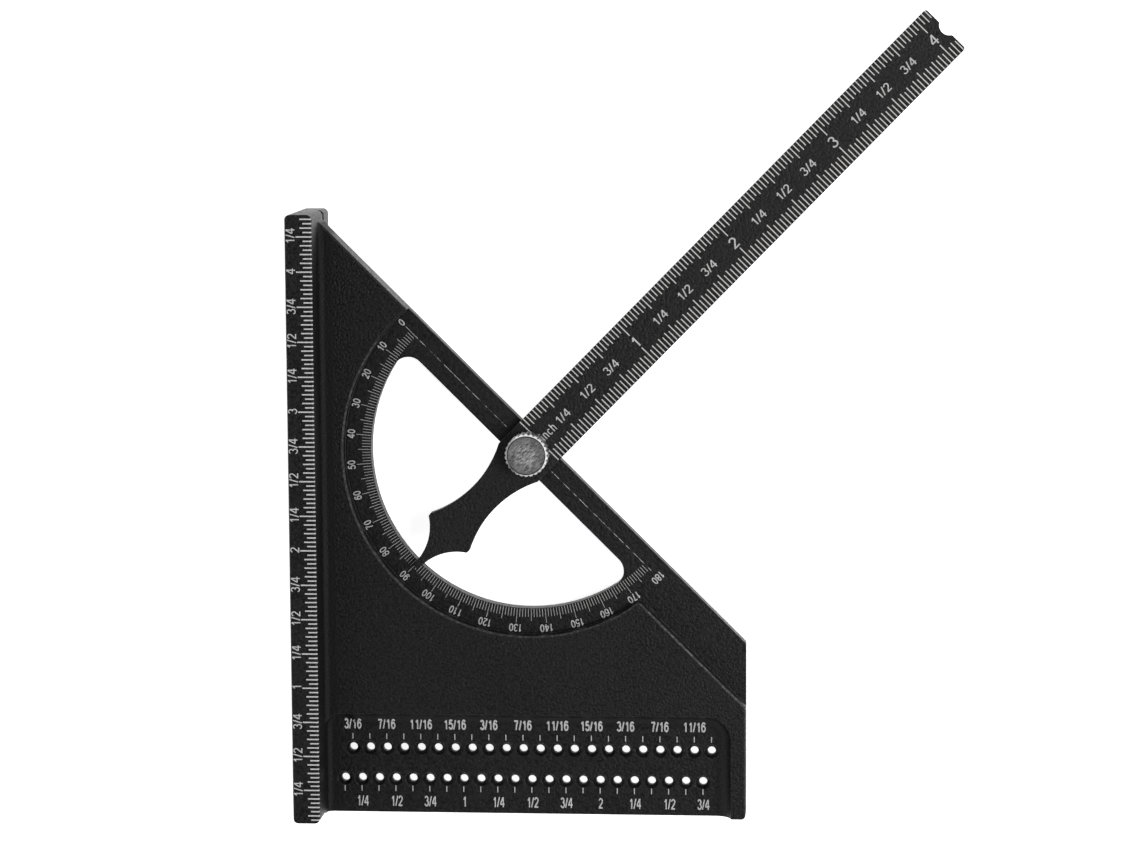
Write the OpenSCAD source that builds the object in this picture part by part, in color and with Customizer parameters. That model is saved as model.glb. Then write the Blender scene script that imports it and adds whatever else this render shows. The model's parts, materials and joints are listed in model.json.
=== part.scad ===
// Multi-angle folding ruler: a triangular square with a fence, a dial window,
// two rows of scribing holes and a folding rule arm held by a knurled knob.
// Millimetres. X = 0 is the fence's registration face, Y = 0 the zero end of
// its scale, Z = 0 the flat underside of the plate that lies on the work.

/* [Plate] */
// Width from the registration face to the free edge
plate_w = 77.8; // [76.4:0.1:100]
// Thickness of the plate
plate_t = 5.6; // [4.6:0.1:8]
// Length of the free edge, below the 45 degree edge
free_edge_l = 32.4; // [30:0.1:45]
// Depth of the recesses milled into the top face
recess_depth = 2.8; // [2.4:0.1:3.4]
// Chamfer on the plate's long edges
edge_break = 0.25; // [0.1:0.05:0.5]
// Rounding of the two corners of the free edge, seen from above
plate_corner_r = 0.8; // [0.3:0.1:1.5]

/* [Fence] */
// Length of the fence
fence_l = 111.8; // [111:0.1:140]
// Thickness of the fence, from its back to the registration face
fence_w = 5; // [4:0.1:8]
// Height of the fence above the plate
fence_above = 7.6; // [6:0.1:12]
// Height of the fence below the plate
fence_below = 7.6; // [4:0.1:12]
// Rounding of the two long edges of the scale face
front_edge_r = 0.4; // [0.2:0.05:1]
// Rounding of the back edge of the rear face
rear_edge_r = 1.1; // [0.4:0.1:1.8]
// Rounding of the rear face's edge beside the registration face
toe_edge_r = 0.6; // [0.2:0.1:1.2]
// Rounding of the fence's four corners, seen from above
end_corner_r = 1; // [0.4:0.1:1.4]
// Cove between the fence and the top face, and along the hole pocket
cove_r = 1.1; // [0.6:0.1:1.4]
// Depth of the chip groove into the registration face
groove_depth = 1.1; // [0.8:0.1:1.8]
// Height of the chip groove below the plate
groove_h = 1.5; // [1:0.1:3]
// How far the chip groove cuts up past the plate's underside
groove_rise = 0.15; // [0.05:0.05:0.4]

/* [Dial] */
// Distance from the registration face to the pivot
pivot_x = 38.22; // [35:0.01:50]
// Half the width of the bar that carries the pivot
bar_half = 2.8; // [2.6:0.05:4]
// Radius of the arc of the window
window_r = 29.4; // [27:0.1:29.9]
// Rounding of the window's two corners
window_corner_r = 3; // [1:0.1:5]
// Radius of the dial recess
dial_r = 34.2; // [33:0.1:35]
// Rounding where the dial recess runs into the arm's slot
slot_corner_r = 0.8; // [0.4:0.1:2]
// Side clearance of the folded arm in its slot
slot_gap = 0.3; // [0.1:0.05:1]
// Chamfer along the upper rims of the dial recess and the slot
recess_break = 0.3; // [0.1:0.05:0.5]

/* [Scribing holes] */
// Distance between neighbouring holes of a row
hole_pitch = 3.175; // [3:0.005:3.3]
// Number of holes in each row
hole_count = 22; // [4:1:22]
// Height of the near row above the zero end
near_row_y = 6.3; // [4:0.1:7]
// Height of the far row above the zero end
far_row_y = 12.1; // [10:0.1:14]
// Diameter of a scribing hole
hole_d = 1.5; // [1:0.05:1.8]
// Diameter of the countersunk mouth of a hole
mouth_d = 2.7; // [2:0.05:2.9]
// Depth of that countersink
mouth_depth = 1; // [0.5:0.05:1.2]
// Diameter of the smaller countersink in the underside
back_mouth_d = 2.3; // [1.9:0.05:2.9]
// Depth of the underside's countersink
back_mouth_depth = 0.7; // [0.3:0.05:0.9]
// Width of the wall left between the hole pocket and the free edge
pocket_wall = 2.7; // [2.4:0.1:3.6]
// Height of the hole pocket above the zero end
pocket_h = 19.1; // [17:0.1:20]
// Radius of the ball cutter that leaves the pocket's far walls
ball_r = 3; // [2.9:0.1:3.6]
// Rounding of the pocket's outer corner, seen from above
pocket_corner_r = 4.4; // [4:0.1:6]

/* [Arm] */
// Reading of the arm on the dial as it stands
arm_reading = 90.45; // [10:0.05:160]
// Thickness of the arm
arm_t = 2.2; // [1.6:0.1:3]
// Width of the rule blade
blade_w = 10; // [9:0.1:12]
// Length of the blade beyond the 45 degree edge
blade_l = 104.4; // [104:0.1:140]
// Radius of the thumb notch in the blade's end
notch_r = 1.85; // [1:0.05:3]
// Depth of the thumb notch
notch_depth = 0.92; // [0.4:0.02:1.8]
// Distance from the pivot to the pointer's tip
pointer_l = 30.5; // [30:0.1:31.5]
// Width of the pointer's waist
waist_w = 5.7; // [4.5:0.1:7]
// Distance from the pivot to the pointer's waist
waist_x = 11.9; // [11:0.1:13]
// Distance from the pivot to the pointer's shoulders
shoulder_x = 21.2; // [20:0.1:22]
// Width of the nib at the pointer's tip
nib_w = 1.3; // [1:0.1:2]
// Radius of the hollow flanks between shoulders and nib
flank_r = 9.5; // [8.5:0.1:10.5]

/* [Pivot] */
// Diameter of the shoulder that the arm turns on
shoulder_d = 3.6; // [3.2:0.1:4]
// Diameter of the stud's threaded end
thread_d = 3; // [2.5:0.1:3]
// Diameter of the stud's flush head
stud_head_d = 4.6; // [4.2:0.1:5]
// Thickness of the stud's flush head
stud_head_t = 0.8; // [0.5:0.1:1.2]
// Radial clearance of the pivot and of the knob's thread
running_gap = 0.05; // [0.02:0.01:0.09]
// Clearance between flat faces that turn on each other
face_gap = 0.03; // [0.02:0.01:0.1]
// Radial clearance of a washer on the stud
washer_gap = 0.1; // [0.05:0.05:0.3]
// Diameter of the friction washer under the arm
friction_d = 5.4; // [5:0.1:5.6]
// Thickness of the friction washer
friction_t = 0.25; // [0.15:0.05:0.5]
// Diameter of the flat washer on the arm
flat_washer_d = 7; // [6:0.1:7.4]
// Thickness of the flat washer
flat_washer_t = 0.5; // [0.3:0.1:0.8]
// Diameter of the wave washer
wave_washer_d = 6.2; // [5.4:0.1:6.8]
// Thickness of the wave washer's strip
wave_strip_t = 0.25; // [0.15:0.05:0.4]
// Height of one wave from trough to crest
wave_h = 0.3; // [0.2:0.05:0.5]
// Number of waves round the washer
wave_count = 3; // [2:1:4]

/* [Knob] */
// Diameter over the knurl
knob_d = 7.8; // [7.2:0.1:10]
// Height of the knob
knob_h = 4.6; // [3.6:0.1:7]
// Number of teeth in the knurl
knurl_teeth = 26; // [20:1:40]
// Depth of the knurl
knurl_depth = 0.28; // [0.1:0.02:0.4]
// Chamfer at the knob's rims
knob_chamfer = 0.4; // [0.1:0.05:0.5]
// Diameter of the ring groove that frames the knob's face
face_groove_d = 6.9; // [6:0.1:7]
// Width of the ring groove
face_groove_w = 0.16; // [0.1:0.02:0.3]
// Thickness of the closed top over the thread
knob_cap_t = 0.9; // [0.6:0.1:1.5]

/* [Hidden] */
$fn = 96;
eps = 0.01;

// The 45 degree edge is the line x + y = edge_sum, and the pivot lies
// half a bar's width inside it
edge_sum = plate_w + free_edge_l;
pivot_y = edge_sum - bar_half * sqrt(2) - pivot_x;
hyp_angle = -45;
pocket_w = plate_w - pocket_wall;
arm_angle = arm_reading - 45;

// Levels
floor_z = plate_t - recess_depth;
scale_z = plate_t + fence_above;
rear_z = -fence_below;
arm_z = floor_z + friction_t + face_gap;
arm_top_z = arm_z + arm_t;
flat_washer_z = arm_top_z + face_gap;
wave_washer_z = flat_washer_z + flat_washer_t;
knob_z = wave_washer_z + wave_h + wave_strip_t + face_gap;
knob_top_z = knob_z + knob_h;

// Arm, measured along its own axis from the pivot
blade_half = blade_w / 2;
blade_end = bar_half + blade_l;
lip_r = 0.35;
blade_corner_r = 0.5;
slot_half = blade_half + slot_gap;

// Points of a circular arc from angle a0 to a1, on n + 1 points
function arc(x, y, r, a0, a1, n = 8) =
    [for (i = [0 : n]) let (a = a0 + (a1 - a0) * i / n) [x + r * cos(a), y + r * sin(a)]];

// The dial's own frame: origin at the pivot, x down along the 45 degree edge,
// y square to that edge and outwards
module on_dial(z = 0) {
    translate([pivot_x, pivot_y, z]) rotate([0, 0, hyp_angle]) children();
}

// Cross-section of the fence
module fence_profile() {
    f = front_edge_r;
    r = rear_edge_r;
    t = toe_edge_r;
    polygon(concat(
        arc(-fence_w + r, rear_z + r, r, 180, 270),
        arc(-t, rear_z + t, t, 270, 360),
        arc(-f, scale_z - f, f, 0, 90),
        arc(-fence_w + f, scale_z - f, f, 90, 180)
    ));
}

// Cross-section of the chip groove, cut into the corner under the plate
module groove_profile() {
    r = (groove_h + groove_rise) / 2;
    translate([r - groove_depth, r - groove_h]) circle(r);
    translate([r - groove_depth, -groove_h]) square([groove_depth - r, 2 * r]);
}

// Outline of the fence from above, with its four rounded corners
module fence_plan() {
    r = end_corner_r;
    polygon(concat(
        arc(-r, r, r, 270, 360),
        arc(-r, fence_l - r, r, 0, 90),
        arc(-fence_w + r, fence_l - r, r, 90, 180),
        arc(-fence_w + r, r, r, 180, 270)
    ));
}

module fence() {
    intersection() {
        translate([0, fence_l, 0]) rotate([90, 0, 0]) linear_extrude(fence_l) fence_profile();
        translate([0, 0, rear_z - 1]) linear_extrude(scale_z - rear_z + 2) fence_plan();
    }
}

// Carries the corner's rounding down over the plate's root at the zero end,
// where it runs out on the cove
module zero_end_rounding() {
    r = end_corner_r;
    foot_z = floor_z + cove_r / 2;
    run_out = 1.8;
    translate([-r, 0, foot_z]) difference() {
        translate([0, -1, 0]) cube([r + 0.5, r + 1, scale_z]);
        translate([0, r, 0]) {
            translate([0, 0, -1]) cylinder(h = scale_z + 2, r = r);
            translate([0, 0, -eps]) cylinder(h = run_out, r1 = 1.7 * r, r2 = r - eps);
        }
    }
}

// Cross-section of the plate, with the cove at the fence and the broken free edge
module plate_profile() {
    b = edge_break;
    polygon(concat(
        [[-fence_w / 2, 0], [plate_w - b, 0], [plate_w, b], [plate_w, plate_t - b], [plate_w - b, plate_t]],
        arc(cove_r, plate_t + cove_r, cove_r, 270, 180),
        [[-fence_w / 2, plate_t + cove_r]]
    ));
}

// Outline of the plate from above, with rounded corners at the free edge
module plate_plan() {
    r = plate_corner_r;
    polygon(concat(
        [[-fence_w / 2, 0]],
        arc(plate_w - r, r, r, 270, 360, 4),
        arc(plate_w - r, free_edge_l - r * tan(22.5), r, 0, 45, 4),
        [[0, edge_sum], [-fence_w / 2, edge_sum]]
    ));
}

module plate() {
    intersection() {
        translate([0, edge_sum, 0]) rotate([90, 0, 0]) linear_extrude(edge_sum) plate_profile();
        translate([0, 0, -1]) linear_extrude(plate_t + cove_r + 2) plate_plan();
    }
}

// Chamfers the two long rims of the 45 degree edge, from the cove outwards
module edge_chamfers() {
    b = edge_break;
    start = -pivot_x * sqrt(2) - bar_half + cove_r * sqrt(2);
    for (side = [0, 1])
        on_dial(side * plate_t) translate([start, bar_half, 0]) mirror([0, 0, 1 - side])
            rotate([90, 0, 90]) linear_extrude(edge_sum)
                polygon([[-b - 1, 1], [1, -b - 1], [1, 1]]);
}

// Outline of the dial window: a D with its flat side along the bar
module window_plan() {
    r = window_corner_r;
    corner_y = -bar_half - r;
    corner_x = sqrt(pow(window_r - r, 2) - pow(corner_y, 2));
    tangent_y = corner_y * window_r / (window_r - r);
    intersection() {
        circle(window_r, $fn = 180);
        union() {
            translate([-window_r, -window_r]) square([2 * window_r, window_r + tangent_y]);
            translate([-corner_x, tangent_y - 1]) square([2 * corner_x, -bar_half - tangent_y + 1]);
            for (side = [-1, 1]) translate([side * corner_x, corner_y]) circle(r);
        }
    }
}

// Outline of the recess that holds the dial and the folded arm
module dial_recess_plan() {
    r = slot_corner_r;
    centre_y = -slot_half - r;
    centre_x = sqrt(pow(dial_r + r, 2) - pow(centre_y, 2));
    tangent = [centre_x, centre_y] * dial_r / (dial_r + r);
    circle(dial_r, $fn = 180);
    translate([0, -slot_half]) square([edge_sum, slot_half + bar_half + 2]);
    difference() {
        polygon([tangent - [2, 0], tangent, [centre_x, centre_y], [centre_x, -slot_half + eps],
            [tangent[0] - 2, -slot_half + eps]]);
        translate([centre_x, centre_y]) circle(r);
    }
}

module dial_recess() {
    b = recess_break;
    on_dial(floor_z) linear_extrude(recess_depth + 1) dial_recess_plan();
    // The arc's upper rim is broken with a narrow cone
    on_dial(plate_t - b) cylinder(h = 2 * b, r1 = dial_r, r2 = dial_r + 2 * b, $fn = 180);
}

// Chamfer on the upper rim of the slot's long wall
module slot_chamfer() {
    b = recess_break;
    start = dial_r + 2;
    on_dial(plate_t) translate([start, -slot_half, 0]) rotate([90, 0, 90])
        linear_extrude(edge_sum) polygon([[1, -b - 1], [1, 1], [-b - 1, 1]]);
}

// Pocket round the scribing holes, open at the zero end: a ball cutter leaves
// the two far walls, and a smaller one follows the fence
module hole_pocket() {
    top = pocket_h;
    c = pocket_corner_r;
    path_x = pocket_w - ball_r;
    path_y = top - ball_r;
    translate([0, 0, floor_z]) {
        // Level floor
        translate([ball_r, -1, 0]) cube([path_x - ball_r, top - c + 1, recess_depth + 1]);
        translate([ball_r, top - c - 1, 0]) cube([pocket_w - c - ball_r, c + 1 - ball_r, recess_depth + 1]);
        // Walls that curve up from the floor, and the corner between them
        translate([path_x, -1, ball_r]) rotate([-90, 0, 0]) cylinder(h = top - c + 1, r = ball_r);
        translate([ball_r, path_y, ball_r]) rotate([0, 90, 0]) cylinder(h = pocket_w - c - ball_r, r = ball_r);
        translate([pocket_w - c, top - c, ball_r]) rotate([0, 0, -1]) rotate_extrude(angle = 92) ball_path();
    }
    fence_side_channel();
}

// Half section of what the ball cutter clears on its way round the corner
module ball_path() {
    path_r = pocket_corner_r - ball_r;
    polygon(concat(
        [[0, -ball_r]],
        arc(path_r, 0, ball_r, -90, 0, 12),
        [[path_r + ball_r, 1], [0, 1]]
    ));
}

// Channel along the fence, deep enough in plan to skim its face
module fence_side_channel() {
    skim = 0.08;
    w = 2 * ball_r;
    r = w / 2;
    c = cove_r;
    above = recess_depth + cove_r + 0.6;
    translate([-skim, 0, floor_z]) {
        translate([0, -1, c]) cube([w, pocket_h - r + 1, above - c]);
        translate([c, -1, 0]) cube([w - c, pocket_h - r + 1, above]);
        translate([c, -1, c]) rotate([-90, 0, 0]) cylinder(h = pocket_h - r + 1, r = c);
        translate([r, pocket_h - r, 0]) {
            translate([0, 0, c]) cylinder(h = above - c, r = r);
            cylinder(h = above, r = r - c);
            translate([0, 0, c]) rotate_extrude() translate([r - c, 0]) circle(c);
        }
    }
}

// One scribing hole, countersunk from both sides
module scribing_hole() {
    over = 0.2;
    translate([0, 0, -1]) cylinder(h = floor_z + 2, d = hole_d, $fn = 24);
    translate([0, 0, floor_z]) countersink(mouth_d, mouth_depth, over);
    mirror([0, 0, 1]) countersink(back_mouth_d, back_mouth_depth, over);
}

// Cone from a face downwards, carried on above the face by over
module countersink(mouth, depth, over) {
    slope = (mouth - hole_d) / depth;
    translate([0, 0, -depth])
        cylinder(h = depth + over, d1 = hole_d, d2 = mouth + slope * over, $fn = 24);
}

// The near row counts eighths from the registration face, and the far row
// starts half a pitch further out
module scribing_holes() {
    for (i = [1 : hole_count]) {
        translate([i * hole_pitch, near_row_y, 0]) scribing_hole();
        translate([(i + 0.5) * hole_pitch, far_row_y, 0]) scribing_hole();
    }
}

// Stepped hole through the bar for the pressed-in stud
module stud_seat() {
    translate([pivot_x, pivot_y, -1]) {
        cylinder(h = floor_z + 2, d = shoulder_d);
        cylinder(h = 1 + stud_head_t, d = stud_head_d);
    }
}

module square_body() {
    color([0.13, 0.13, 0.14]) difference() {
        union() {
            fence();
            plate();
        }
        edge_chamfers();
        translate([0, fence_l + 1, 0]) rotate([90, 0, 0]) linear_extrude(fence_l + 2) groove_profile();
        on_dial(-1) linear_extrude(plate_t + 2) window_plan();
        dial_recess();
        slot_chamfer();
        hole_pocket();
        zero_end_rounding();
        scribing_holes();
        stud_seat();
    }
}

// Half outline of the arm: hollow waist, shoulder, hollow flank and nib,
// on points from the pivot towards the tip
function pointer_half() =
    let (
        waist_r = (pow(waist_x - bar_half, 2) + pow(blade_half - waist_w / 2, 2)) / (blade_w - waist_w),
        waist_y = waist_w / 2 + waist_r,
        half_span = asin((waist_x - bar_half) / waist_r),
        shoulder_a = asin((shoulder_x - 0.3 - waist_x) / waist_r),
        flank_x = pointer_l - 1.1,
        flank_y = nib_w / 2 + flank_r,
        flank_a = acos((flank_x - shoulder_x - 0.3) / flank_r)
    )
    concat(
        arc(-waist_x, waist_y, waist_r, -90 + half_span, -90 - shoulder_a, 24),
        arc(-flank_x, flank_y, flank_r, -flank_a, -90, 16),
        [[-pointer_l + 0.15, 0.12]]
    );

module arm_plan() {
    half = pointer_half();
    mirrored = [for (i = [len(half) - 1 : -1 : 0]) [half[i][0], -half[i][1]]];
    c = blade_corner_r;
    difference() {
        polygon(concat(
            arc(blade_end - c, -blade_half + c, c, -90, 0),
            arc(blade_end - c, blade_half - c, c, 0, 90),
            half,
            [[-pointer_l, 0]],
            mirrored
        ));
        thumb_notch();
    }
}

// Shallow round notch in the blade's end, with rounded lips
module thumb_notch() {
    centre_x = blade_end - notch_depth + notch_r;
    lip_x = blade_end - lip_r;
    lip_y = sqrt(pow(notch_r + lip_r, 2) - pow(centre_x - lip_x, 2));
    touch = [centre_x, 0] + [lip_x - centre_x, lip_y] * notch_r / (notch_r + lip_r);
    translate([centre_x, 0]) circle(notch_r);
    for (side = [-1, 1]) scale_y(side) difference() {
        polygon([touch - [0, 0.5], touch, [lip_x, lip_y], [blade_end + 1, lip_y], [blade_end + 1, 0]]);
        translate([lip_x, lip_y]) circle(lip_r);
    }
}

// Keeps a shape for +1 and mirrors it across the x axis for -1
module scale_y(side) {
    mirror([0, side < 0 ? 1 : 0]) children();
}

module ruler_arm() {
    color([0.13, 0.13, 0.14])
        translate([pivot_x, pivot_y, arm_z]) rotate([0, 0, arm_angle]) difference() {
            linear_extrude(arm_t) arm_plan();
            translate([0, 0, -1]) cylinder(h = arm_t + 2, d = shoulder_d + 2 * running_gap);
        }
}

module pivot_stud() {
    thread_top = knob_top_z - knob_cap_t - face_gap;
    color([0.72, 0.72, 0.74]) translate([pivot_x, pivot_y, 0]) difference() {
        rotate_extrude() polygon([
            [0, 0], [stud_head_d / 2, 0], [stud_head_d / 2, stud_head_t],
            [shoulder_d / 2, stud_head_t], [shoulder_d / 2, arm_top_z - face_gap],
            [thread_d / 2, arm_top_z - face_gap], [thread_d / 2, thread_top - knob_chamfer],
            [thread_d / 2 - knob_chamfer, thread_top], [0, thread_top]
        ]);
    }
}

// A flat ring on the stud
module ring(z, outer_d, inner_d, t) {
    translate([pivot_x, pivot_y, z]) difference() {
        cylinder(h = t, d = outer_d);
        translate([0, 0, -1]) cylinder(h = t + 2, d = inner_d);
    }
}

module friction_washer() {
    color([0.9, 0.89, 0.84])
        ring(floor_z, friction_d, shoulder_d + 2 * washer_gap, friction_t);
}

module flat_washer() {
    color([0.75, 0.75, 0.77])
        ring(flat_washer_z, flat_washer_d, thread_d + 2 * washer_gap, flat_washer_t);
}

// A spring ring whose strip rises and falls in waves
module wave_washer() {
    steps = 24 * wave_count;
    r_in = thread_d / 2 + washer_gap;
    r_out = wave_washer_d / 2;
    corners = [[r_in, 0], [r_out, 0], [r_out, wave_strip_t], [r_in, wave_strip_t]];
    points = [for (i = [0 : steps - 1]) let (a = 360 * i / steps, rise = wave_h / 2 * (1 - cos(wave_count * a)))
        for (p = corners) [p[0] * cos(a), p[0] * sin(a), p[1] + rise]];
    faces = [for (i = [0 : steps - 1], k = [0 : 3]) let (j = (i + 1) % steps, m = (k + 1) % 4)
        [4 * i + k, 4 * i + m, 4 * j + m, 4 * j + k]];
    color([0.6, 0.6, 0.62]) translate([pivot_x, pivot_y, wave_washer_z]) polyhedron(points, faces, 4);
}

// Outline of the knurl: one rounded tooth is three points
module knurl_plan() {
    tooth = 360 / knurl_teeth;
    polygon([for (i = [0 : knurl_teeth - 1], p = [[0, knurl_depth], [0.3, 0], [0.7, 0]])
        let (a = tooth * (i + p[0]), r = knob_d / 2 - p[1]) [r * cos(a), r * sin(a)]]);
}

module clamp_knob() {
    c = knob_chamfer;
    r = knob_d / 2;
    color([0.7, 0.7, 0.71]) translate([pivot_x, pivot_y, knob_z]) difference() {
        intersection() {
            linear_extrude(knob_h) knurl_plan();
            rotate_extrude() polygon([
                [0, 0], [r - c, 0], [r, c], [r, knob_h - c], [r - c, knob_h], [0, knob_h]
            ]);
        }
        translate([0, 0, -1]) cylinder(h = knob_h - knob_cap_t + 1, d = thread_d + 2 * running_gap);
        translate([0, 0, knob_h - face_groove_w]) difference() {
            cylinder(h = 1, d = face_groove_d + face_groove_w);
            translate([0, 0, -1]) cylinder(h = 3, d = face_groove_d - face_groove_w);
        }
    }
}

square_body();
ruler_arm();
pivot_stud();
friction_washer();
flat_washer();
wave_washer();
clamp_knob();
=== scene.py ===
# Multi-angle folding ruler: scales, numerals, finishes and studio round the CAD frame.
import json
import math

import bmesh
import bpy
from mathutils import Euler, Matrix, Vector
from mathutils.bvhtree import BVHTree


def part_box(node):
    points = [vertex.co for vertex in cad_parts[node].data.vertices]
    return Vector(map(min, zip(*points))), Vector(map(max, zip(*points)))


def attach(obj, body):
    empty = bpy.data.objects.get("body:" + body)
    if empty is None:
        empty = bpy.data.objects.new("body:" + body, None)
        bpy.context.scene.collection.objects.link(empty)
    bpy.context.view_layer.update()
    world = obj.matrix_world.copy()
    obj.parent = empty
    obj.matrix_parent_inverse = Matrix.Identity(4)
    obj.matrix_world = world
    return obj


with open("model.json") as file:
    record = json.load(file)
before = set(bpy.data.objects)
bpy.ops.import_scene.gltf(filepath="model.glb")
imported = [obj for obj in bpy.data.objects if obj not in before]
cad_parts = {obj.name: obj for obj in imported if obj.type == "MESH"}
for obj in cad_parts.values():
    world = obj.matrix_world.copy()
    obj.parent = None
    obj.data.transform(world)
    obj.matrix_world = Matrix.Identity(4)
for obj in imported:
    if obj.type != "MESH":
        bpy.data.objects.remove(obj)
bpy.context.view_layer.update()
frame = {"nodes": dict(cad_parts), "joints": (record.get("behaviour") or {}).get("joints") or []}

bl_info = {
    "name": "Multi-angle folding ruler",
    "version": (1, 0, 0),
    "blender": (4, 5, 0),
    "location": "3D View > Sidebar > Ruler",
    "description": "Marks, numerals and finishes of a fenced angle square with a swinging rule arm",
    "category": "Object",
}

MM = 0.001
INCH = 25.4 * MM

# Levels and centres read from the frame
BODY_LOW, BODY_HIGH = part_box("square_body")
FENCE_TOP = BODY_HIGH[2]
RECESS_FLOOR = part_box("friction_washer")[0][2]
ARM_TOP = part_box("ruler_arm")[1][2]
STUD_LOW, STUD_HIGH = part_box("pivot_stud")
PIVOT = Vector(((STUD_LOW[0] + STUD_HIGH[0]) / 2, (STUD_LOW[1] + STUD_HIGH[1]) / 2, 0))
ARM_READING = next(-j["range_deg"][0] for j in frame["joints"] if j["name"] == "arm_swing")
ARM_ANGLE = math.radians(ARM_READING - 45)


# Sizes and colours

class RulerMarkSettings(bpy.types.PropertyGroup):
    """Sizes of the engraved lines and numerals."""

    mark_rise: bpy.props.FloatProperty(
        name="Mark rise", description="How far an engraved mark's filling stands proud",
        default=0.012 * MM, unit="LENGTH", precision=6)
    fence_line: bpy.props.FloatProperty(
        name="Fence line width", description="Width of a line of the fence scale",
        default=0.24 * MM, unit="LENGTH", precision=6)
    arm_line: bpy.props.FloatProperty(
        name="Arm line width", description="Width of a line of the arm scale",
        default=0.19 * MM, unit="LENGTH", precision=6)
    dial_line: bpy.props.FloatProperty(
        name="Dial line width", description="Width of a line of the dial",
        default=0.07 * MM, unit="LENGTH", precision=6)
    hole_line: bpy.props.FloatProperty(
        name="Hole line width", description="Width of the line that points at a scribing hole",
        default=0.15 * MM, unit="LENGTH", precision=6)
    fence_numeral: bpy.props.FloatProperty(
        name="Fence numeral height", description="Height of the fence's numerals",
        default=1.7 * MM, unit="LENGTH", precision=6)
    arm_numeral: bpy.props.FloatProperty(
        name="Arm numeral height", description="Height of the arm's fractions",
        default=1.62 * MM, unit="LENGTH", precision=6)
    arm_inch_numeral: bpy.props.FloatProperty(
        name="Arm inch height", description="Height of the arm's whole inches",
        default=2.1 * MM, unit="LENGTH", precision=6)
    dial_numeral: bpy.props.FloatProperty(
        name="Dial numeral height", description="Height of the dial's numerals",
        default=1.5 * MM, unit="LENGTH", precision=6)
    hole_numeral: bpy.props.FloatProperty(
        name="Hole numeral height", description="Height of the numerals at the scribing holes",
        default=2.06 * MM, unit="LENGTH", precision=6)


class RulerFinishSettings(bpy.types.PropertyGroup):
    """Colours of the finishes."""

    anodised: bpy.props.FloatVectorProperty(
        name="Anodised black", description="Colour of the anodised plate, fence and arm",
        default=(0.0046, 0.0046, 0.0047), size=3, min=0, max=1, subtype="COLOR")
    # This colour serves both the worn edges and the highlights painted on edges and walls
    rubbed: bpy.props.FloatVectorProperty(
        name="Rubbed edge", description="Colour of the edges where the black is rubbed",
        default=(0.16, 0.16, 0.165), size=3, min=0, max=1, subtype="COLOR")
    engraving: bpy.props.FloatVectorProperty(
        name="Engraving", description="Colour of the engraved lines and numerals",
        default=(0.57, 0.57, 0.57), size=3, min=0, max=1, subtype="COLOR")
    knob: bpy.props.FloatVectorProperty(
        name="Knob metal", description="Colour of the knurled knob",
        default=(0.76, 0.76, 0.76), size=3, min=0, max=1, subtype="COLOR")
    steel: bpy.props.FloatVectorProperty(
        name="Steel", description="Colour of the stud and the washers",
        default=(0.56, 0.56, 0.57), size=3, min=0, max=1, subtype="COLOR")
    nylon: bpy.props.FloatVectorProperty(
        name="Nylon", description="Colour of the friction washer",
        default=(0.72, 0.7, 0.63), size=3, min=0, max=1, subtype="COLOR")


class RulerStudioSettings(bpy.types.PropertyGroup):
    """Camera, floor and lamps."""

    focal_length: bpy.props.FloatProperty(
        name="Focal length", description="Focal length on a 36 mm wide sensor, in mm",
        default=110.53, min=10, max=400)
    camera_place: bpy.props.FloatVectorProperty(
        name="Camera place", description="Where the camera stands",
        default=(0.097505, 0.149325, 0.63656), size=3, subtype="TRANSLATION", unit="LENGTH")
    camera_turn: bpy.props.FloatVectorProperty(
        name="Camera turn", description="How the camera is turned",
        default=(math.radians(-6.94019), math.radians(4.64328), math.radians(-0.32955)),
        size=3, subtype="EULER")
    key_power: bpy.props.FloatProperty(
        name="Key light", description="Power of the large lamp over the right side, in watts",
        default=2.75, min=0)
    fill_power: bpy.props.FloatProperty(
        name="Fill light", description="Power of the large lamp at the left, in watts",
        default=0.6, min=0)


# Marks

def sweep(x, y, rx, ry, first, last, steps=10):
    """Points along an arc of an ellipse, from the first to the last angle in degrees."""
    angles = [math.radians(first + (last - first) * i / steps) for i in range(steps + 1)]
    return [(x + rx * math.cos(a), y + ry * math.sin(a)) for a in angles]


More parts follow.
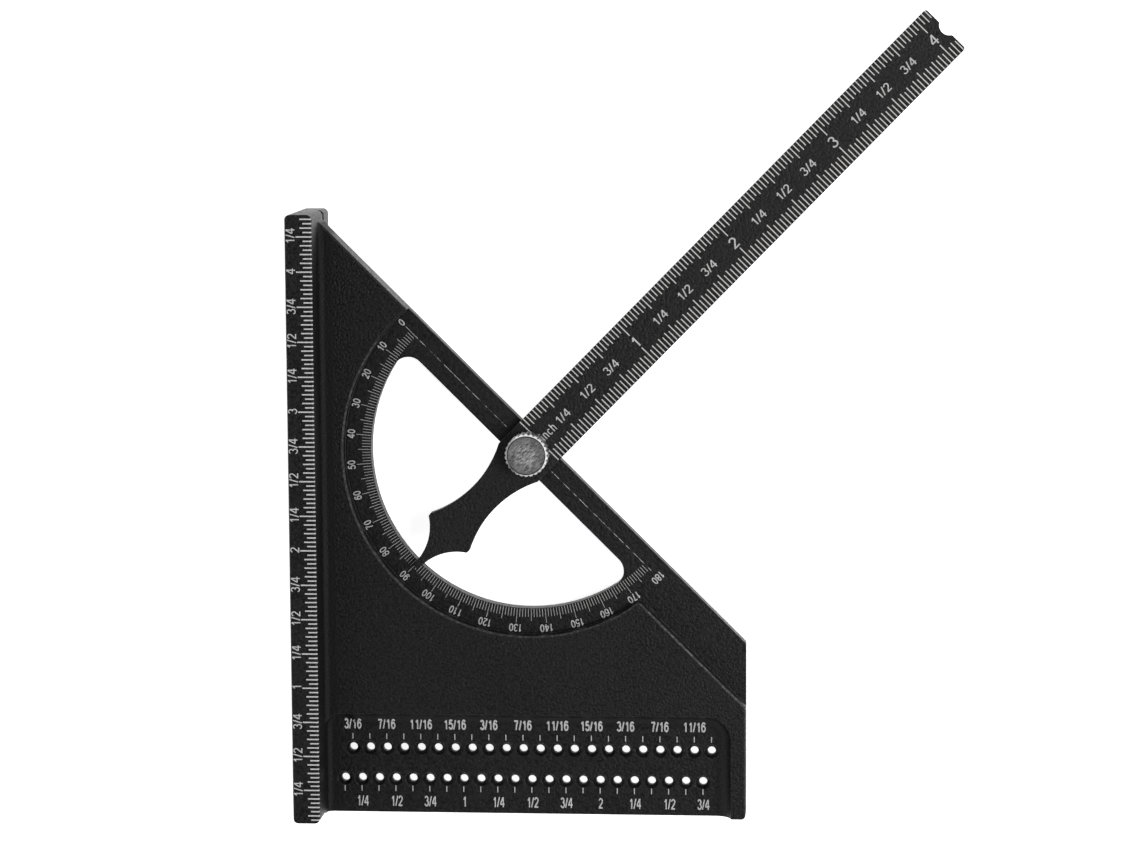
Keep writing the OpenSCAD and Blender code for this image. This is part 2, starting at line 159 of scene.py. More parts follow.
# Each letter is its width and its pen strokes, on a cap height of 1
PEN_WIDTH = 0.15
LETTER_GAP = 0.26
LETTERS = {
    "0": (0.52, [sweep(0.26, 0.5, 0.26, 0.5, 0, 360, 16)]),
    "1": (0.52, [[(0.14, 0.74), (0.26, 0.83), (0.34, 1.0)],
                 [(0.37, 1.04), (0.37, -0.06)]]),
    "2": (0.50, [sweep(0.25, 0.73, 0.24, 0.27, 170, -38, 9) + [(0.02, 0.03)],
                 [(-0.05, 0.0), (0.54, 0.0)]]),
    "3": (0.50, [sweep(0.23, 0.76, 0.22, 0.25, 160, -80, 9),
                 sweep(0.24, 0.27, 0.26, 0.28, 80, -165, 10)]),
    "4": (0.54, [[(0.40, -0.06), (0.40, 1.04)],
                 [(0.36, 1.0), (-0.01, 0.33)],
                 [(-0.05, 0.27), (0.59, 0.27)]]),
    "5": (0.50, [[(0.50, 1.0), (0.08, 1.0)],
                 [(0.11, 1.0), (0.04, 0.48)],
                 sweep(0.24, 0.32, 0.26, 0.33, 140, -160, 10)]),
    "6": (0.52, [sweep(0.26, 0.32, 0.25, 0.33, 0, 360, 12),
                 sweep(0.30, 0.46, 0.29, 0.55, 190, 42, 7)]),
    "7": (0.50, [[(-0.04, 1.0), (0.53, 1.0)],
                 [(0.49, 0.98), (0.30, 0.62), (0.17, -0.06)]]),
    "8": (0.52, [sweep(0.26, 0.76, 0.22, 0.25, 0, 360, 12),
                 sweep(0.26, 0.27, 0.26, 0.28, 0, 360, 12)]),
    "9": (0.52, [sweep(0.26, 0.68, 0.25, 0.33, 0, 360, 12),
                 sweep(0.22, 0.54, 0.29, 0.55, 10, -138, 7)]),
    "/": (0.14, [[(-0.08, -0.05), (0.22, 1.05)]]),
    "i": (0.08, [[(0.04, -0.06), (0.04, 0.72)],
                 [(0.04, 0.92), (0.04, 1.06)]]),
    "n": (0.40, [[(0.02, -0.06), (0.02, 0.72)],
                 sweep(0.20, 0.46, 0.18, 0.24, 180, 0, 8) + [(0.38, -0.06)]]),
    "c": (0.42, [sweep(0.23, 0.33, 0.21, 0.35, 45, 315, 10)]),
    "h": (0.40, [[(0.02, -0.06), (0.02, 1.05)],
                 sweep(0.20, 0.46, 0.18, 0.24, 180, 0, 8) + [(0.38, -0.06)]]),
}


class Marks:
    """Lines and words at one level of the ruler, gathered into one piece."""

    def __init__(self, level, weight=PEN_WIDTH):
        self.bm = bmesh.new()
        self.level = level
        self.rise = bpy.context.scene.ruler_marks.mark_rise
        self.weight = weight
        self.letters = {}

    def line(self, start, end, width):
        """One engraved line from start to end, as a thin closed bar."""
        start, end = Vector(start), Vector(end)
        along = end - start
        place = Matrix.Translation(((start.x + end.x) / 2, (start.y + end.y) / 2, self.level))
        turn = Matrix.Rotation(math.atan2(along.y, along.x), 4, "Z")
        size = Matrix.Diagonal((along.length, width, 2 * self.rise, 1))
        bmesh.ops.create_cube(self.bm, size=1, matrix=place @ turn @ size)

    def letter(self, name):
        """Mesh of one letter on a cap height of 1, drawn with a round pen."""
        curve = bpy.data.curves.new("letter_" + name, "CURVE")
        curve.dimensions = "3D"
        curve.twist_mode = "Z_UP"
        curve.bevel_depth = self.weight / 2
        curve.bevel_resolution = 0
        curve.use_fill_caps = True
        for points in LETTERS[name][1]:
            closed = (Vector(points[0]) - Vector(points[-1])).length < 1e-6
            if closed:
                points = points[:-1]
            spline = curve.splines.new("POLY")
            spline.points.add(len(points) - 1)
            for point, (x, y) in zip(spline.points, points):
                point.co = (x, y, 0, 1)
            spline.use_cyclic_u = closed
        holder = bpy.data.objects.new(curve.name, curve)
        mesh = bpy.data.meshes.new_from_object(holder)
        bpy.data.objects.remove(holder)
        bpy.data.curves.remove(curve)
        return mesh

    def word(self, word, centre, angle, height, squeeze=1.0):
        """A word centred on a point, reading along angle, with capitals of that height."""
        widths = [LETTERS[letter][0] for letter in word]
        total = sum(widths) + LETTER_GAP * (len(word) - 1)
        scale = height / (1 + self.weight)
        flat = self.rise / (self.weight / 2)
        place = Matrix.Translation((centre[0], centre[1], self.level))
        place = place @ Matrix.Rotation(angle, 4, "Z")
        x = -total / 2
        for letter, width in zip(word, widths):
            if letter not in self.letters:
                self.letters[letter] = self.letter(letter)
            first = len(self.bm.verts)
            self.bm.from_mesh(self.letters[letter])
            self.bm.verts.ensure_lookup_table()
            size = Matrix.Diagonal((scale * squeeze, scale, flat, 1))
            shape = size @ Matrix.Translation((x, -0.5, 0))
            bmesh.ops.transform(self.bm, matrix=place @ shape, verts=self.bm.verts[first:])
            x += width + LETTER_GAP

    def drape(self, cuts=(), across=(1, 0, 0)):
        """Cuts the marks at those places along a direction and lays them on the body's surface."""
        for cut in cuts:
            everything = self.bm.verts[:] + self.bm.edges[:] + self.bm.faces[:]
            bmesh.ops.bisect_plane(
                self.bm, geom=everything, plane_co=Vector(across) * cut, plane_no=across)
        body = frame["nodes"]["square_body"].data
        surface = BVHTree.FromPolygons(
            [v.co for v in body.vertices], [tuple(p.vertices) for p in body.polygons])
        for vert in self.bm.verts:
            above = Vector((vert.co.x, vert.co.y, FENCE_TOP + MM))
            vert.co.z += surface.ray_cast(above, Vector((0, 0, -1)))[0].z - self.level

    def piece(self, name, material, body, slot):
        """Makes a finished piece of the marks that rides on a body."""
        bmesh.ops.recalc_face_normals(self.bm, faces=self.bm.faces)
        mesh = bpy.data.meshes.new(name)
        self.bm.to_mesh(mesh)
        self.bm.free()
        piece = bpy.data.objects.new(name, mesh)
        bpy.context.scene.collection.objects.link(piece)
        mesh.materials.append(bpy.data.materials[material])
        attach(piece, body)


def inch_name(quarters):
    """What stands at that many quarters of an inch: the fraction, or the whole inches."""
    return {1: "1/4", 2: "1/2", 3: "3/4", 0: str(quarters // 4)}[quarters % 4]


def line_length(thirty_seconds, lengths):
    """Length of a scale line, from (inch or quarter, sixteenth, thirty-second)."""
    if thirty_seconds % 8 == 0:
        return lengths[0]
    return lengths[1] if thirty_seconds % 2 == 0 else lengths[2]


# Materials

class Finish:
    """A material's node tree with short calls for the nodes a finish is made of."""

    def __init__(self, name):
        self.material = bpy.data.materials.new(name)
        self.material.use_nodes = True
        self.nodes = self.material.node_tree.nodes
        self.links = self.material.node_tree.links
        self.shader = self.nodes["Principled BSDF"]
        self.place = self.nodes.new("ShaderNodeTexCoord").outputs["Object"]

    def link(self, source, target):
        self.links.new(source, target)

    def mapped(self, location=(0, 0, 0), turn=0.0, scale=(1, 1, 1)):
        node = self.nodes.new("ShaderNodeMapping")
        node.vector_type = "TEXTURE"
        node.inputs["Location"].default_value = location
        node.inputs["Rotation"].default_value = (0, 0, turn)
        node.inputs["Scale"].default_value = scale
        self.link(self.place, node.inputs["Vector"])
        return node.outputs["Vector"]

    def noise(self, scale, detail=2.0, vector=None, roughness=0.5):
        node = self.nodes.new("ShaderNodeTexNoise")
        node.inputs["Scale"].default_value = scale
        node.inputs["Detail"].default_value = detail
        node.inputs["Roughness"].default_value = roughness
        self.link(vector or self.place, node.inputs["Vector"])
        return node.outputs["Fac"]

    def ramp(self, value, low, high, start=0.0, end=1.0):
        """Maps a value from low..high to start..end, clamped."""
        node = self.nodes.new("ShaderNodeMapRange")
        self.link(value, node.inputs["Value"])
        limits = {"From Min": low, "From Max": high, "To Min": start, "To Max": end}
        for socket, number in limits.items():
            node.inputs[socket].default_value = number
        return node.outputs["Result"]

    def math(self, operation, a, b):
        node = self.nodes.new("ShaderNodeMath")
        node.operation = operation
        for socket, value in zip(node.inputs, (a, b)):
            if isinstance(value, (int, float)):
                socket.default_value = value
            else:
                self.link(value, socket)
        return node.outputs["Value"]

    def blend(self, factor, first, second):
        """Mixes two colours, each a colour tuple or a socket."""
        node = self.nodes.new("ShaderNodeMix")
        node.data_type = "RGBA"
        self.link(factor, node.inputs["Factor"])
        for socket, value in ((node.inputs[6], first), (node.inputs[7], second)):
            if hasattr(value, "links"):
                self.link(value, socket)
            else:
                socket.default_value = (*value, 1)
        return node.outputs[2]

    def bump(self, height, strength, distance, normal=None):
        node = self.nodes.new("ShaderNodeBump")
        node.inputs["Strength"].default_value = strength
        node.inputs["Distance"].default_value = distance
        self.link(height, node.inputs["Height"])
        if normal:
            self.link(normal, node.inputs["Normal"])
        return node.outputs["Normal"]

    def edges(self, radius):
        """1 along sharp edges and 0 on open faces, with the rounded normal beside it."""
        rounded = self.nodes.new("ShaderNodeBevel")
        rounded.samples = 6
        rounded.inputs["Radius"].default_value = radius
        surface = self.nodes.new("ShaderNodeNewGeometry")
        dot = self.nodes.new("ShaderNodeVectorMath")
        dot.operation = "DOT_PRODUCT"
        self.link(rounded.outputs["Normal"], dot.inputs[0])
        self.link(surface.outputs["Normal"], dot.inputs[1])
        return self.math("SUBTRACT", 1.0, dot.outputs["Value"]), rounded.outputs["Normal"]

    def radius(self):
        """Distance from the pivot's axis."""
        node = self.nodes.new("ShaderNodeVectorMath")
        node.operation = "LENGTH"
        self.link(self.mapped((PIVOT.x, PIVOT.y, 0), scale=(1, 1, 1e6)), node.inputs[0])
        return node.outputs["Value"]

    def axes(self, vector):
        """The three parts of a vector."""
        node = self.nodes.new("ShaderNodeSeparateXYZ")
        self.link(vector, node.inputs["Vector"])
        return node.outputs

    def band(self, value, low, high, soft):
        """1 between low and high, and 0 beyond them."""
        rise = self.ramp(value, low, low + soft)
        fall = self.ramp(value, high, high - soft)
        return self.math("MULTIPLY", rise, fall)

    def finish(self, colour=None, roughness=None, normal=None, **numbers):
        for value, socket in ((colour, "Base Color"), (roughness, "Roughness"), (normal, "Normal")):
            if value is not None:
                self.link(value, self.shader.inputs[socket])
        for name, number in numbers.items():
            self.shader.inputs[name.replace("_", " ")].default_value = number
        return self.material


# Zones of the finish, where it paints shade and highlights: RADII are from the pivot, DIAL_SIDE
# and SLOT_EDGE are across the slot from the pivot, SLOT_START is along it, and the rest are places
# on Z and X
RIM_RADII = (34.1 * MM, 34.48 * MM)
CORNER_SHADE_RADII = (33.75 * MM, 34.1 * MM)
DIAL_SIDE = (-5.2 * MM, -5.4 * MM)
SLOT_EDGE = (-5.66 * MM, -5.26 * MM)
SLOT_START = (30 * MM, 30.2 * MM)
WEAR_AND_HIGHLIGHT_HEIGHT = (4.6 * MM, 5.0 * MM)
COVE_SHADE_X = (0.0, 2.6 * MM)
SLOT_ANGLE = math.radians(-45)


def dotted(f, dots, strength, least):
    """How strong the wearing and the painted highlight are when they show as dots over an even rub.
    """
    return f.math("ADD", f.math("MULTIPLY", dots, strength), least)


def anodised_finish(name, black, rubbed, coarse):
    """Bead-blasted black anodising: fine grain, faint clouding, worn edges partly painted as
    highlights, and painted shade in the dial's corner and beside the fence.
    """
    f = Finish(name)
    grain = f.noise(2300, 2, roughness=0.55)
    speck = f.noise(1500, 1)
    cloud = f.noise(45, 3)
    edge, rounded = f.edges(0.16 * MM)
    dots = f.ramp(f.noise(1700, 2), 0.5, 0.62)
    radius = f.radius()
    along = f.axes(f.mapped((PIVOT.x, PIVOT.y, 0), SLOT_ANGLE))
    place = f.axes(f.place)
    dial_side = f.ramp(along["Y"], *DIAL_SIDE)

    # The rim of the dial's recess and the slot's edge are partly worn bare and partly painted
    # lighter as a highlight, in dots, near the top only
    rim_wear_and_highlight = f.math("MULTIPLY", f.band(radius, *RIM_RADII, 0.08 * MM), dial_side)
    slot_wear_and_highlight = f.band(along["Y"], *SLOT_EDGE, 0.1 * MM)
    slot_wear_and_highlight = f.math("MULTIPLY", slot_wear_and_highlight, f.ramp(along["X"], *SLOT_START))
    worn = f.math("MAXIMUM", f.math("MULTIPLY", slot_wear_and_highlight, 0.75), f.math("MULTIPLY", rim_wear_and_highlight, 0.42))
    worn = f.math("MULTIPLY", worn, f.ramp(place["Z"], *WEAR_AND_HIGHLIGHT_HEIGHT))
    # Sharp edges turn pale in dots: partly wear, partly a painted highlight along the edge
    wear_and_highlight = f.math("MULTIPLY", f.ramp(edge, 0.02, 0.14), dotted(f, dots, 0.6, 0.12))
    wear_and_highlight = f.math("MAXIMUM", wear_and_highlight, f.math("MULTIPLY", worn, dotted(f, dots, 0.7, 0.25)))

    # Painted shade: the foot of the recess's wall and the cove beside the fence are painted darker,
    # where shade falls, and made duller
    painted_shade = f.math("MULTIPLY", f.band(radius, *CORNER_SHADE_RADII, 0.1 * MM), dial_side)
    cove_shade = f.band(place["X"], *COVE_SHADE_X, 0.5 * MM)
    painted_shade = f.math("MAXIMUM", painted_shade, f.math("MULTIPLY", cove_shade, 0.6))

    tone = f.math("MULTIPLY", f.ramp(grain, 0.3, 0.7, 0.0, 2.0),
                  f.ramp(cloud, 0.3, 0.7, 0.92, 1.08))
    # The painted shade darkens the tone down to a tenth
    tone = f.math("MULTIPLY", tone, f.ramp(painted_shade, 0.0, 1.0, 1.0, 0.1))
    tone = f.math("MULTIPLY", tone, f.ramp(speck, 0.62, 0.8, 1.0, 2.0))
    # A tone of 1 is the plain black; the blend covers tones up to 4
    brightest = 4.0
    plain = f.blend(f.ramp(tone, 0.0, brightest), (0, 0, 0), [c * brightest for c in black])
    colour = f.blend(wear_and_highlight, plain, rubbed)
    roughness = f.math("ADD", f.ramp(cloud, 0.3, 0.7, 0.40, 0.48),
                       f.ramp(grain, 0.3, 0.7, -0.14, 0.14))
    roughness = f.math("ADD", roughness, f.math("MULTIPLY", painted_shade, 0.35))
    normal = f.bump(grain, 1.0, coarse, rounded)
    return f.finish(colour, roughness, normal, Specular_IOR_Level=0.25)


def engraving_finish(name, pale):
    """Laser-engraved marks: pale, dull and slightly uneven."""
    f = Finish(name)
    fine = f.noise(5200, 3, roughness=0.7)
    colour = f.blend(f.ramp(fine, 0.3, 0.7), [c * 0.78 for c in pale], [c * 1.12 for c in pale])
    roughness = f.ramp(fine, 0.3, 0.7, 0.5, 0.7)
    return f.finish(colour, roughness, f.bump(fine, 0.3, 0.01 * MM), Specular_IOR_Level=0.35)


def faint_finish(name, pale):
    """A hairline that the engraver only just touched, so it comes and goes."""
    f = Finish(name)
    fine = f.noise(2600, 3, roughness=0.7)
    touched = f.ramp(f.noise(1100, 2), 0.44, 0.54)
    colour = f.blend(touched, [c * 0.05 for c in pale], [c * 1.1 for c in pale])
    return f.finish(colour, f.ramp(fine, 0.3, 0.7, 0.5, 0.7), Specular_IOR_Level=0.35)


def knob_finish(name, metal):
    """Bright turned metal: a scuffed, duller face inside a cut groove painted dark as its shade,
    and a bright knurl.
    """
    f = Finish(name)
    axis = (PIVOT.x, PIVOT.y, 0)
    scratch = f.noise(5200, 2, f.mapped(axis, math.radians(-52), (1, 4.5, 1)), 0.6)
    fine = f.noise(8500, 2, f.mapped(axis, math.radians(-58), (1, 5, 1)), 0.6)
    blotch = f.noise(520, 2)
    mix = f.math("ADD", f.math("MULTIPLY", scratch, 0.65), f.math("MULTIPLY", fine, 0.35))
    radius = f.radius()
    face = f.ramp(radius, 3.36 * MM, 3.3 * MM)
    centre = f.ramp(radius, 3.2 * MM, 1.2 * MM)
    # Painted shade: the cut groove round the face is painted near-black
    groove_shade = f.band(radius, 3.3 * MM, 3.56 * MM, 0.05 * MM)
    bright = f.ramp(mix, 0.44, 0.6)
    scuffed = f.blend(bright, [c * 0.34 for c in metal], [c * 0.95 for c in metal])
    quiet = f.blend(bright, [c * 0.32 for c in metal], [c * 0.46 for c in metal])
    colour = f.blend(face, metal, f.blend(centre, quiet, scuffed))
    colour = f.blend(groove_shade, colour, [c * 0.08 for c in metal])
    roughness = f.math("ADD", f.ramp(mix, 0.35, 0.65, 0.24, 0.42),
                       f.ramp(blotch, 0.3, 0.7, -0.05, 0.08))
    rounded = f.edges(0.05 * MM)[1]
    normal = f.bump(mix, 0.6, 0.03 * MM, rounded)
    return f.finish(colour, roughness, normal, Metallic=1.0)


def turned_finish(name, metal, rough):
    """Turned or stamped steel, with tool rings round the pivot."""
    f = Finish(name)
    rings = f.nodes.new("ShaderNodeTexWave")
    rings.wave_type = "RINGS"
    rings.rings_direction = "Z"
    rings.inputs["Scale"].default_value = 900
    rings.inputs["Distortion"].default_value = 0.6
    f.link(f.mapped((PIVOT.x, PIVOT.y, 0)), rings.inputs["Vector"])
    spots = f.noise(1400, 3)
    worn, bright = [c * 0.8 for c in metal], [min(1, c * 1.15) for c in metal]
    colour = f.blend(f.ramp(spots, 0.35, 0.7), worn, bright)
    roughness = f.ramp(spots, 0.3, 0.7, rough - 0.06, rough + 0.08)
    return f.finish(colour, roughness, f.bump(rings.outputs["Fac"], 0.25, 0.004 * MM), Metallic=1.0)


def nylon_finish(name, pale):
    """Punched nylon sheet."""
    f = Finish(name)
    haze = f.noise(1300, 3)
    dull, bright = [c * 0.92 for c in pale], [min(1, c * 1.06) for c in pale]
    colour = f.blend(f.ramp(haze, 0.3, 0.7), dull, bright)
    roughness = f.ramp(haze, 0.3, 0.7, 0.4, 0.55)
    return f.finish(colour, roughness, f.bump(haze, 0.2, 0.01 * MM), Specular_IOR_Level=0.5)


# Operators

class RULER_OT_finishes(bpy.types.Operator):
    """Gives every CAD piece its finish"""

    bl_idname = "ruler.finishes"
    bl_label = "Finish the pieces"

    def execute(self, context):
        s = context.scene.ruler_finish
        finishes = {
            "square_body": anodised_finish("body_anodised", s.anodised, s.rubbed, 0.15 * MM),
            "ruler_arm": anodised_finish("arm_anodised", s.anodised, s.rubbed, 0.22 * MM),
            "pivot_stud": turned_finish("stud_steel", s.steel, 0.3),
            "friction_washer": nylon_finish("friction_nylon", s.nylon),
            "flat_washer": turned_finish("washer_steel", s.steel, 0.26),
            "wave_washer": turned_finish("spring_steel", s.steel, 0.34),
            "clamp_knob": knob_finish("knob_metal", s.knob),
        }
        for name, material in finishes.items():
            node = frame["nodes"][name]
            node.data.materials.clear()
            node.data.materials.append(material)
        engraving_finish("engraving", s.engraving)
        faint_finish("engraving_faint", s.engraving)
        return {"FINISHED"}


class RULER_OT_fence_scale(bpy.types.Operator):
    """Engraves the inch scale along the top of the fence"""

    bl_idname = "ruler.fence_scale"
    bl_label = "Fence scale"

    def execute(self, context):
        s = context.scene.ruler_marks
        lines, words = Marks(FENCE_TOP), Marks(FENCE_TOP)
        last_line, last_quarter = 140, 17
        lines_end_x = -0.06 * MM
        lines_shift_y = -0.12 * MM
        lengths = (2.87 * MM, 2.13 * MM, 1.6 * MM)
        numerals_x = -3.95 * MM
        numerals_shift_y = 0.03 * MM
        # Places across the fence's rounded front edge where a line is bent
        bends = [-x * MM for x in (0.4, 0.32, 0.25, 0.18, 0.12)]
        for k in range(1, last_line + 1):
            y = k * INCH / 32 + lines_shift_y
            start = (lines_end_x - line_length(k, lengths), y)
            lines.line(start, (lines_end_x, y), s.fence_line)
        for quarters in range(1, last_quarter + 1):
            centre = (numerals_x, quarters * INCH / 4 + numerals_shift_y)
            words.word(inch_name(quarters), centre, math.radians(90), s.fence_numeral, 1.05)
        lines.drape(bends)
        lines.piece("fence_scale_lines", "engraving", "square", "body_anodised")
        words.piece("fence_scale_numerals", "engraving", "square", "body_anodised")
        return {"FINISHED"}


class RULER_OT_dial_scale(bpy.types.Operator):
    """Engraves the 0 to 180 degree dial, its numerals and its base line"""

    bl_idname = "ruler.dial_scale"
    bl_label = "Dial"

    def execute(self, context):
        s = context.scene.ruler_marks
        lines, words = Marks(RECESS_FLOOR), Marks(RECESS_FLOOR, 0.2)
        hairs = Marks(RECESS_FLOOR)
        # Direction of the 0 mark from the pivot, and radii from it
        zero_direction = 135
        line_start = 29.5 * MM
        line_ends = {1: 31.03 * MM, 5: 31.76 * MM, 10: 32.2 * MM}
        base_line_start, base_line_end = 5.6 * MM, 32.1 * MM
        numeral_radius = 33.18 * MM
        hair = s.dial_line * 0.95
        for degree in range(0, 181):
            angle = math.radians(zero_direction + degree)
            out = Vector((math.cos(angle), math.sin(angle), 0))
            if degree in (0, 180):
                hairs.line(PIVOT + out * base_line_start, PIVOT + out * base_line_end, hair)
            else:
                step = max(n for n in line_ends if degree % n == 0)
                lines.line(PIVOT + out * line_start, PIVOT + out * line_ends[step], s.dial_line)
            if degree % 10 == 0:
                centre = PIVOT + out * numeral_radius
                words.word(str(degree), centre, angle - math.pi / 2, s.dial_numeral, 0.9)
        lines.piece("dial_lines", "engraving", "square", "body_anodised")
        words.piece("dial_numerals", "engraving", "square", "body_anodised")
        hairs.piece("dial_base_line", "engraving_faint", "square", "body_anodised")
        return {"FINISHED"}


class RULER_OT_hole_marks(bpy.types.Operator):
    """Engraves the lines and fractions beside the two rows of scribing holes"""

    bl_idname = "ruler.hole_marks"
    bl_label = "Scribing hole marks"

    def execute(self, context):
        s = context.scene.ruler_marks
        lines = Marks(RECESS_FLOOR)
        near, far = Marks(RECESS_FLOOR, 0.195), Marks(RECESS_FLOOR, 0.24)
        holes_in_row = 22
        half_line = 0.53 * MM
        near_lines_y, far_lines_y = 4.47 * MM, 14.31 * MM
        near_numerals_y, far_numerals_y = 2.1 * MM, 16.66 * MM
        near_shift_x = 0.1 * MM
        sixteenths = ("3/16", "7/16", "11/16", "15/16")
        # Places up the pocket's hollow wall where the far numerals are bent
        bends = [(16 + 0.15 * step) * MM for step in range(14)]
        for i in range(1, holes_in_row + 1):
            near_x, far_x = i * INCH / 8, (i + 0.5) * INCH / 8
            for x, y in ((near_x, near_lines_y), (far_x, far_lines_y)):
                lines.line((x, y - half_line), (x, y + half_line), s.hole_line)
            if i % 2 == 0:
                centre = (near_x + near_shift_x, near_numerals_y)
                near.word(inch_name(i // 2), centre, 0, s.hole_numeral, 0.71)
            else:
                centre = (far_x, far_numerals_y)
                far.word(sixteenths[i // 2 % 4], centre, 0, s.hole_numeral, 0.74)
        far.drape(bends, (0, 1, 0))
        lines.piece("hole_mark_lines", "engraving", "square", "body_anodised")
        near.piece("near_row_numerals", "engraving", "square", "body_anodised")
        far.piece("far_row_numerals", "engraving", "square", "body_anodised")
        return {"FINISHED"}


class RULER_OT_arm_scale(bpy.types.Operator):
    """Engraves the two inch scales of the arm and their numerals"""

    bl_idname = "ruler.arm_scale"
    bl_label = "Arm scales"

    def execute(self, context):
        s = context.scene.ruler_marks
        lines, words = Marks(ARM_TOP), Marks(ARM_TOP)
        turn = Matrix.Translation(PIVOT) @ Matrix.Rotation(ARM_ANGLE, 4, "Z")
        last_line, last_quarter = 131, 16
        half_blade = 5 * MM
        zero = 2.8 * MM
        numeral_shift = Vector((-0.15 * MM, 0.15 * MM, 0))
        # Per side of the blade: distances from its edge to a line's start and to its end
        sides = (
            (-1, 0.1 * MM, {1: 2.27 * MM, 2: 2.62 * MM, 8: 3.12 * MM, 32: 3.7 * MM}),
            (1, 0.0, {1: 1.78 * MM, 2: 2.1 * MM, 8: 2.62 * MM, 32: 3.25 * MM}),
        )
        for k in range(0, last_line + 1):
            x = zero + k * INCH / 32
            for side, start, ends in sides:
                step = max(n for n in ends if k % n == 0)
                a = turn @ Vector((x, side * (half_blade - start), 0))
                b = turn @ Vector((x, side * (half_blade - ends[step]), 0))
                lines.line(a, b, s.arm_line)
        for quarters in range(1, last_quarter + 1):
            centre = turn @ (Vector((zero + quarters * INCH / 4, 0, 0)) + numeral_shift)
            height = s.arm_inch_numeral if quarters % 4 == 0 else s.arm_numeral
            words.word(inch_name(quarters), centre, ARM_ANGLE, height, 1.22)
        unit_centre = turn @ Vector((zero + 2.3 * MM, 0.1 * MM, 0))
        words.word("inch", unit_centre, ARM_ANGLE, s.arm_numeral * 1.05, 1.02)
        lines.piece("arm_scale_lines", "engraving", "arm", "arm_anodised")
        words.piece("arm_scale_numerals", "engraving", "arm", "arm_anodised")
        return {"FINISHED"}


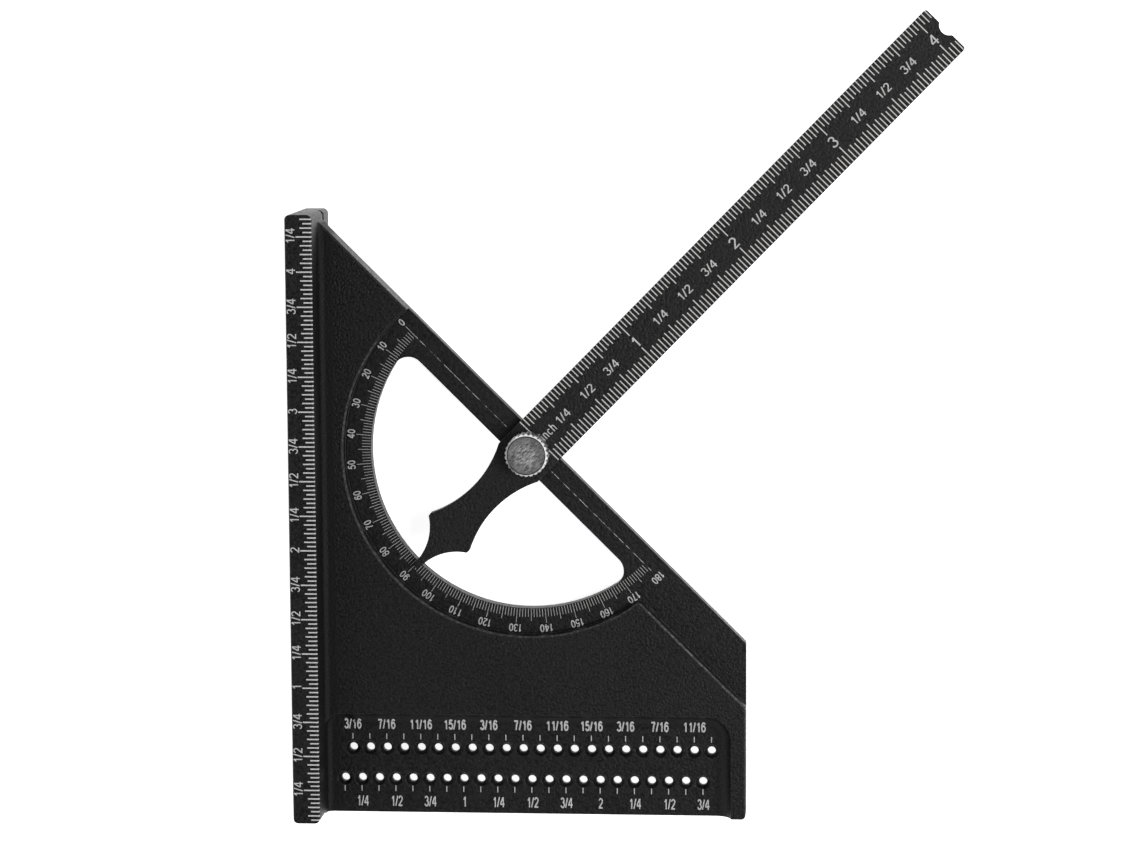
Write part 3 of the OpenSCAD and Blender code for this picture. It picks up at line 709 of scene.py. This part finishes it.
class RULER_OT_studio(bpy.types.Operator):
    """Sets up the pale floor, the soft lamps and the camera"""

    bl_idname = "ruler.studio"
    bl_label = "Studio"

    def execute(self, context):
        s = context.scene.ruler_studio
        scene = context.scene
        scene.view_settings.view_transform = "Standard"

        # A hair under the fence, so that no two faces lie in one plane
        floor_place = (0.05, 0.05, BODY_LOW[2] - 0.05 * MM)
        floor_half = 3.0
        bm = bmesh.new()
        bmesh.ops.create_grid(bm, x_segments=1, y_segments=1, size=floor_half,
                              matrix=Matrix.Translation(floor_place))
        mesh = bpy.data.meshes.new("studio_floor")
        bm.to_mesh(mesh)
        bm.free()
        floor = bpy.data.objects.new("studio_floor", mesh)
        scene.collection.objects.link(floor)
        floor.data.materials.append(self.floor_material())

        self.lamp("key_lamp", s.key_power, (0.38, 0.08, 0.58), 0.3)
        self.lamp("fill_lamp", s.fill_power, (-0.6, -0.1, 0.55), 0.6)
        self.world(scene)

        camera = bpy.data.cameras.new("camera")
        camera.lens = s.focal_length
        camera.sensor_width = 36
        camera.clip_start = 0.01
        holder = bpy.data.objects.new("camera", camera)
        holder.location = s.camera_place
        holder.rotation_euler = Euler(s.camera_turn, "XYZ")
        scene.collection.objects.link(holder)
        scene.camera = holder
        return {"FINISHED"}

    def lamp(self, name, power, place, size):
        """One large square lamp that faces the middle of the ruler."""
        light = bpy.data.lights.new(name, "AREA")
        light.energy = power
        light.size = size
        holder = bpy.data.objects.new(name, light)
        holder.location = place
        aim = Vector((0.05, 0.07, 0)) - Vector(place)
        holder.rotation_euler = aim.to_track_quat("-Z", "Y").to_euler()
        bpy.context.scene.collection.objects.link(holder)

    def seen_rays(self, tree):
        """1 for rays of the camera, of a reflection or through glass."""
        path = tree.nodes.new("ShaderNodeLightPath")
        total = path.outputs["Is Camera Ray"]
        for name in ("Is Glossy Ray", "Is Transmission Ray"):
            node = tree.nodes.new("ShaderNodeMath")
            node.operation = "MAXIMUM"
            tree.links.new(total, node.inputs[0])
            tree.links.new(path.outputs[name], node.inputs[1])
            total = node.outputs["Value"]
        return total

    def floor_material(self):
        """Matt white floor that reads as white and still takes a soft shadow."""
        material = bpy.data.materials.new("studio_floor")
        material.use_nodes = True
        tree = material.node_tree
        shader = tree.nodes["Principled BSDF"]
        shader.inputs["Base Color"].default_value = (0.9, 0.9, 0.9, 1)
        shader.inputs["Roughness"].default_value = 0.9
        shader.inputs["Specular IOR Level"].default_value = 0.0
        shader.inputs["Emission Color"].default_value = (1, 1, 1, 1)
        scale = tree.nodes.new("ShaderNodeMath")
        scale.operation = "MULTIPLY"
        scale.inputs[1].default_value = 0.82
        # Glows for the camera and in reflections only, so it adds no diffuse light
        tree.links.new(self.seen_rays(tree), scale.inputs[0])
        tree.links.new(scale.outputs["Value"], shader.inputs["Emission Strength"])
        return material

    def world(self, scene):
        """Soft room: pale walls round the table under a dimmer ceiling."""
        world = bpy.data.worlds.new("studio")
        world.use_nodes = True
        scene.world = world
        tree = world.node_tree
        direction = tree.nodes.new("ShaderNodeTexCoord")
        split = tree.nodes.new("ShaderNodeSeparateXYZ")
        tree.links.new(direction.outputs["Generated"], split.inputs["Vector"])
        height = tree.nodes.new("ShaderNodeMapRange")
        height.interpolation_type = "SMOOTHSTEP"
        limits = {"From Min": 0.25, "From Max": 0.75, "To Min": 1.0, "To Max": 0.2}
        for socket, number in limits.items():
            height.inputs[socket].default_value = number
        tree.links.new(split.outputs["Z"], height.inputs["Value"])
        room = tree.nodes["Background"]
        room.inputs["Color"].default_value = (1, 1, 1, 1)
        tree.links.new(height.outputs["Result"], room.inputs["Strength"])


class RULER_PT_panel(bpy.types.Panel):
    """Lists the steps that dress the ruler"""

    bl_idname = "RULER_PT_panel"
    bl_label = "Folding ruler"
    bl_space_type = "VIEW_3D"
    bl_region_type = "UI"
    bl_category = "Ruler"

    def draw(self, context):
        for name in ("ruler_marks", "ruler_finish", "ruler_studio"):
            box = self.layout.box()
            group = getattr(context.scene, name)
            for key in group.bl_rna.properties.keys():
                if key not in ("rna_type", "name"):
                    box.prop(group, key)
        for step in STEPS:
            self.layout.operator(step.bl_idname)


STEPS = (RULER_OT_finishes, RULER_OT_fence_scale, RULER_OT_dial_scale, RULER_OT_hole_marks,
         RULER_OT_arm_scale, RULER_OT_studio)
GROUPS = {
    "ruler_marks": RulerMarkSettings,
    "ruler_finish": RulerFinishSettings,
    "ruler_studio": RulerStudioSettings,
}


def register():
    for cls in (*GROUPS.values(), *STEPS, RULER_PT_panel):
        bpy.utils.register_class(cls)
    for name, group in GROUPS.items():
        setattr(bpy.types.Scene, name, bpy.props.PointerProperty(type=group))


def unregister():
    for name in GROUPS:
        delattr(bpy.types.Scene, name)
    for cls in reversed((*GROUPS.values(), *STEPS, RULER_PT_panel)):
        bpy.utils.unregister_class(cls)


def main():
    register()
    bpy.ops.ruler.finishes()
    bpy.ops.ruler.fence_scale()
    bpy.ops.ruler.dial_scale()
    bpy.ops.ruler.hole_marks()
    bpy.ops.ruler.arm_scale()
    bpy.ops.ruler.studio()


if __name__ == "__main__":
    main()
